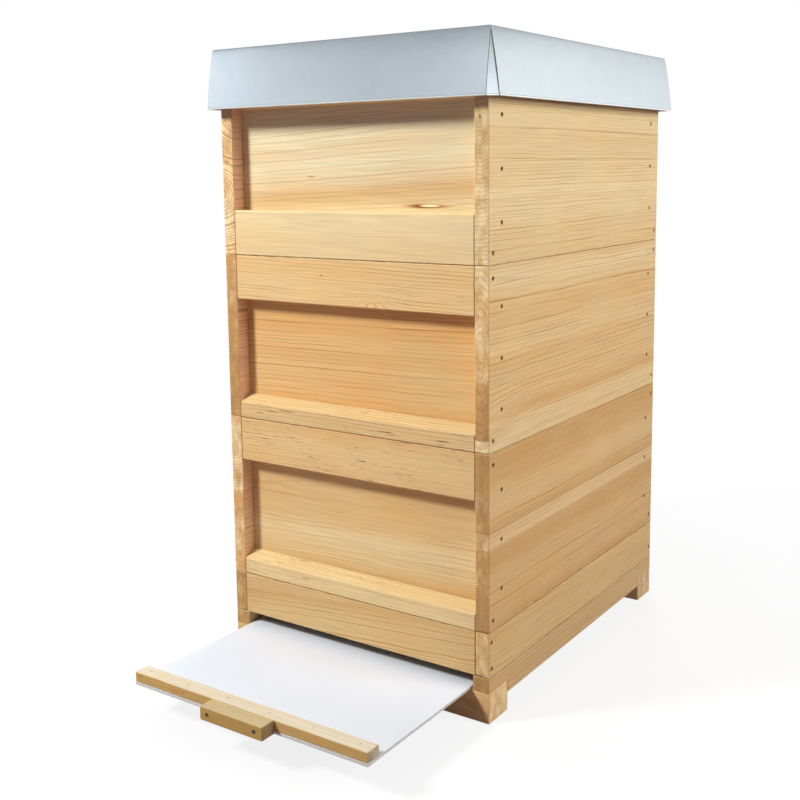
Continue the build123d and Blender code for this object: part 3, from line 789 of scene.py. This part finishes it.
whole = nail_tree.node("GeometryNodeJoinGeometry")
for part in (heads, shanks):
    nail_tree.tree.links.new(part.socket, whole.inputs[0])
nails_tree = ripen(nail_tree, Value(nail_tree, whole.outputs[0]), given["Material"])

shank_radius, pin_shank_radius, head_sunk = 1.0 * MM, 0.6 * MM, 0.7 * MM
for body in ("floor", "tray", "bottom_box", "middle_box", "top_box", "inner_cover"):
    node = body + "_nails"
    shank = pin_shank_radius if body == "tray" else shank_radius
    nails = grow(node + "_driven", nails_tree, {
        "Shank": shank, "Sunk": head_sunk, "Material": steel_finish}, nail_points(node))
    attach(nails, body)
    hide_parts(node)


# The inner cover closes the top box: two thin plywood boards with an insulating board between them, and
# pine battens round the edge, nailed together.
birch_pale, birch_dark, glued_ply = (0.76, 0.58, 0.36, 1), (0.60, 0.40, 0.21, 1), (0.36, 0.21, 0.10, 1)


def plywood(node):
    """Birch plywood: a broad wavy figure on its faces and thin plies along its edges."""
    ply = Finish(node)
    x, _, z = ply.split(ply.place)
    sway = ply.noise(ply.stretch(ply.place, (5.0, 1.2, 5.0), 2.0)) * 0.5
    figure = ply.smooth(ply.math("FRACT", x * 22.0 + sway * 9.0), 0.5, 0.97)
    fibre = ply.noise(ply.stretch(ply.place, (700.0, 10.0, 700.0), 4.0), 3.0)
    plies = ply.smooth(ply.math("PINGPONG", z / MM, 1.4), 0.5, 0.9)
    facing = ply.split(ply.get("ShaderNodeNewGeometry", "Normal"))[2]
    edge = 1 - ply.smooth(ply.math("ABSOLUTE", facing), 0.4, 0.8)
    colour = ply.mix(figure * 0.4 + sway * 0.3, birch_pale, birch_dark)
    colour = ply.mix(edge * plies, colour, glued_ply)
    cover(node, ply.surface({
        "Base Color": ply.dim(colour, fibre * 0.25 + 0.87),
        "Roughness": fibre * 0.1 + 0.55,
        "Normal": ply.bump(fibre + figure * 0.4, 0.2, 0.3 * MM),
    }))


plywood("inner_cover_base")
plywood("inner_cover_top")
pine("inner_cover_left_batten", "YXZ", [(0, 0.3, 50, 30)], seed=13.0)
pine("inner_cover_right_batten", "YXZ", [(0, 0.3, -40, 30)], seed=13.6)
pine("inner_cover_tray_end_batten", "XYZ", [(0, 0.35, 50, 60)], seed=14.2)
pine("inner_cover_entrance_end_batten", "XYZ", [(0, 0.35, -50, 20)], seed=14.8)

fibre_dark, fibre_pale = (0.30, 0.19, 0.10, 1), (0.47, 0.32, 0.18, 1)
fibres = Finish("fibre_board")
strands = fibres.noise(fibres.stretch(fibres.place, (90.0, 90.0, 400.0), 2.0), 5.0)
lumps = fibres.noise(fibres.stretch(fibres.place, (600.0, 600.0, 900.0), 3.0), 3.0)
cover("inner_cover_insulation", fibres.surface({
    "Base Color": fibres.mix(strands, fibre_dark, fibre_pale),
    "Roughness": 0.9,
    "Normal": fibres.bump(strands + lumps * 0.6, 0.6, 1 * MM),
}))


# The roof is one galvanised sheet, folded down on all sides into flared skirts, with a pleat at each
# corner. The bottom edge is rolled into a thin bead, and the sheet bows a little between its folds.
sheet, fold, flare, bead = 1.0 * MM, 2.5 * MM, 12.0 * MM, 1.3 * MM
skirt_steps, fold_steps = 12, 5
skirt_levels, lining_levels = (0.1, 0.35, 0.65, 0.94), (0.94, 0.5, 0.1)
bead_turns = (60, 20, -20, -60, -100, -140, -180, -220)
pleat_gap, pleat_depth = 0.9 * MM, 0.7 * MM
hem_bow, belly, crown = 0.7 * MM, 4.0 * MM, 0.8 * MM
crease, same_spot = math.radians(28), 0.02 * MM
skirt_skin, shaded_inside_skin, highlit_bead_skin, top_skin = range(4)
roof_low, roof_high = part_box("roof_cover")
drop = roof_high.z - roof_low.z
roof_middle = (roof_low + roof_high) / 2
half_x = roof_high.x - roof_middle.x - flare
half_y = roof_high.y - roof_middle.y - flare
roof_mesh = bmesh.new()


def roof_loop(out, height):
    """The sheet's outline at one height, out beyond the top's edge, as points all round it."""
    corner_x = half_x if out > 0 else half_x + out
    corner_y = half_y if out > 0 else half_y + out
    share = (roof_high.z - height) / drop
    points = []
    for turn in range(4):
        near, far = (corner_x, corner_y) if turn % 2 == 0 else (corner_y, corner_x)
        reach = near + max(out, 0.0)
        side = []
        for step in range(skirt_steps + 1):
            spot = 2 * step / skirt_steps - 1
            bow = 0.0
            if out > 0:
                bow = hem_bow * share * (1 - spot * spot) + belly * share * (1 - share)
            side.append(Vector((reach + bow, far * spot, height)))
        start, end = side[-1], Vector((near, far + max(out, 0.0), height))
        pleat_width = (end - start).length
        inset = min(0.5, pleat_gap / pleat_width) if pleat_width > 1e-6 else 0.5
        inwards = Vector((-1, -1, 0)).normalized() * min(pleat_depth, pleat_width * 0.2)
        side.append(start.lerp(end, inset) + inwards)
        side.append(start.lerp(end, 1 - inset) + inwards)
        for point in side:
            for _ in range(turn):
                point.x, point.y = -point.y, point.x
            points.append(roof_mesh.verts.new(point + Vector((roof_middle.x, roof_middle.y, 0))))
    return points


def roof_plate(out, height, most_rise, skin):
    """The flat of the top, as a grid that meets the outline at that height."""
    spots = [2 * step / skirt_steps - 1 for step in range(skirt_steps + 1)]
    rows = []
    for spot_y in spots:
        row = []
        for spot_x in spots:
            x = roof_middle.x + (half_x + out) * spot_x
            y = roof_middle.y + (half_y + out) * spot_y
            rise = most_rise * (1 - spot_x * spot_x) * (1 - spot_y * spot_y)
            row.append(roof_mesh.verts.new((x, y, height + rise)))
        rows.append(row)
    for lower, upper in zip(rows, rows[1:]):
        for step in range(skirt_steps):
            corners = (lower[step], lower[step + 1], upper[step + 1], upper[step])
            roof_mesh.faces.new(corners).material_index = skin


tilt = math.atan2(flare, drop)
fold_turns = [(math.pi / 2 - tilt) * step / fold_steps for step in range(fold_steps + 1)]
outside = [(fold * (math.sin(turn) - 1), roof_high.z - fold * (1 - math.cos(turn))) for turn in fold_turns]
outside += [(flare * share, roof_high.z - drop * share) for share in skirt_levels]
bead_out, bead_height, bead_reach = flare - bead, roof_low.z + bead, 1.35 * bead
bead_start = len(outside)
for turn in bead_turns:
    angle = math.radians(turn)
    outside.append((bead_out + bead_reach * math.cos(angle), bead_height + bead * math.sin(angle)))
inside = [(flare * share - sheet, roof_high.z - drop * share) for share in lining_levels]
inside.append((-sheet, roof_high.z - sheet))
loops = [roof_loop(out, height) for out, height in outside + inside]
pleat_walls = (skirt_steps, skirt_steps + 2)
for level, (upper, lower) in enumerate(zip(loops, loops[1:])):
    for step in range(len(upper)):
        after = (step + 1) % len(upper)
        corners = (upper[step], upper[after], lower[after], lower[step])
        # Lining faces and pleat walls take the dark inside finish: painted shade under the roof and in the
        # pleats.
        if level >= len(outside) or step % (skirt_steps + 3) in pleat_walls:
            skin = shaded_inside_skin
        # The bead takes the pale finish: a painted highlight along the rolled edge.
        elif level >= bead_start:
            skin = highlit_bead_skin
        else:
            skin = skirt_skin
        roof_mesh.faces.new(corners).material_index = skin
roof_plate(-fold, roof_high.z, crown, top_skin)
roof_plate(-sheet, roof_high.z - sheet, 0.0, shaded_inside_skin)
bmesh.ops.remove_doubles(roof_mesh, verts=roof_mesh.verts, dist=same_spot)
bmesh.ops.recalc_face_normals(roof_mesh, faces=roof_mesh.faces)
for face in roof_mesh.faces:
    face.smooth = True
for edge in roof_mesh.edges:
    edge.smooth = edge.calc_face_angle(0.0) < crease
roof_sheet = bpy.data.meshes.new("roof_sheet")
roof_mesh.to_mesh(roof_sheet)
roof_mesh.free()
roof_sheet.materials.append(galvanised("roof_zinc", (0.505, 0.572, 0.625), 0.3))
# The inside finish is a dark dull grey-brown: painted shade on the underside and in the pleats.
roof_sheet.materials.append(galvanised("roof_zinc_inside", (0.20, 0.18, 0.165), 0.6))
# The bead's paler zinc tone is a painted highlight along the rolled edge.
roof_sheet.materials.append(galvanised("roof_zinc_bead", (0.73, 0.78, 0.82), 0.3))
roof_sheet.materials.append(galvanised("roof_zinc_top", (0.46, 0.52, 0.565), 0.42))
roof = piece_of("roof_sheet", roof_sheet)
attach(roof, "roof")
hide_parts("roof_cover")
